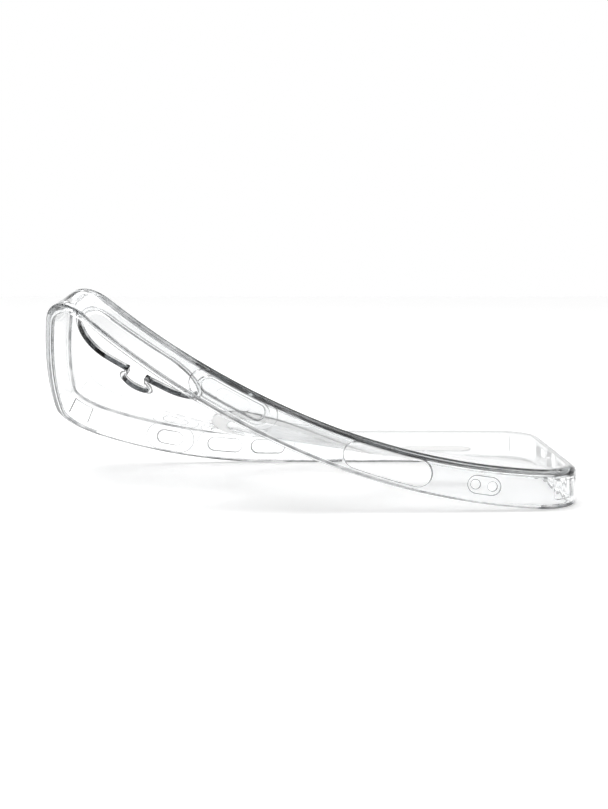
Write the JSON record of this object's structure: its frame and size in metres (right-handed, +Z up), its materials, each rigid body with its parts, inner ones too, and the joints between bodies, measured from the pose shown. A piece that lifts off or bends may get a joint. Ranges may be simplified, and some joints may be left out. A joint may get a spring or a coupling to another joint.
{
  "type": "phone case",
  "caption": "Clear flexible phone case with pressable side button covers, a camera opening and a white magnet ring laminated in its back, flexed as when peeled off a phone.",
  "frame": {"origin": "centre of the flexed case's bounding box, on the floor under its lowest lip", "axes": "+X along the phone towards its charging port, +Y across towards the volume buttons, +Z up, out of the phone's back"},
  "size_m": [0.1524, 0.0776, 0.0581],
  "materials": {
    "soft_rim": "clear, glossy, slightly grey at its edges",
    "clear_back": "clear, glossy",
    "soft_buttons": "clear, glossy",
    "white_film": "opaque white satin film",
    "magnet": "nickel-plated magnet"
  },
  "bodies": {
    "shell": {"bumper_frame": "soft_rim", "back_panel": "clear_back", "ring_cover_outer": "white_film", "ring_cover_inner": "white_film", "magnet_01": "magnet", "magnet_02": "magnet", "magnet_03": "magnet", "magnet_04": "magnet", "magnet_05": "magnet", "magnet_06": "magnet", "magnet_07": "magnet", "magnet_08": "magnet", "magnet_09": "magnet", "magnet_10": "magnet", "magnet_11": "magnet", "magnet_12": "magnet", "magnet_13": "magnet", "magnet_14": "magnet", "magnet_15": "magnet", "magnet_16": "magnet", "magnet_17": "magnet", "magnet_18": "magnet", "bar_magnet": "magnet", "bar_cover_outer": "white_film", "bar_cover_inner": "white_film"},
    "power_button": {"power_button_cover": "soft_buttons"},
    "volume_up_button": {"volume_up_cover": "soft_buttons"},
    "volume_down_button": {"volume_down_cover": "soft_buttons"},
    "action_button": {"action_button_cover": "soft_buttons"}
  },
  "joints": [
    {"name": "power_press", "type": "slide", "parent": "shell", "child": "power_button", "axis": [-0.1355, 0.8463, -0.5152], "range_m": [0, 0.0004], "stiffness_N_per_m": 1500},
    {"name": "volume_up_press", "type": "slide", "parent": "shell", "child": "volume_up_button", "axis": [0.0037, -0.9958, 0.0915], "range_m": [0, 0.0004], "stiffness_N_per_m": 1500},
    {"name": "volume_down_press", "type": "slide", "parent": "shell", "child": "volume_down_button", "axis": [0, -1, 0.0066], "range_m": [0, 0.0004], "stiffness_N_per_m": 1500},
    {"name": "action_press", "type": "slide", "parent": "shell", "child": "action_button", "axis": [0.0175, -0.9801, 0.1975], "range_m": [0, 0.0004], "stiffness_N_per_m": 1500}
  ]
}
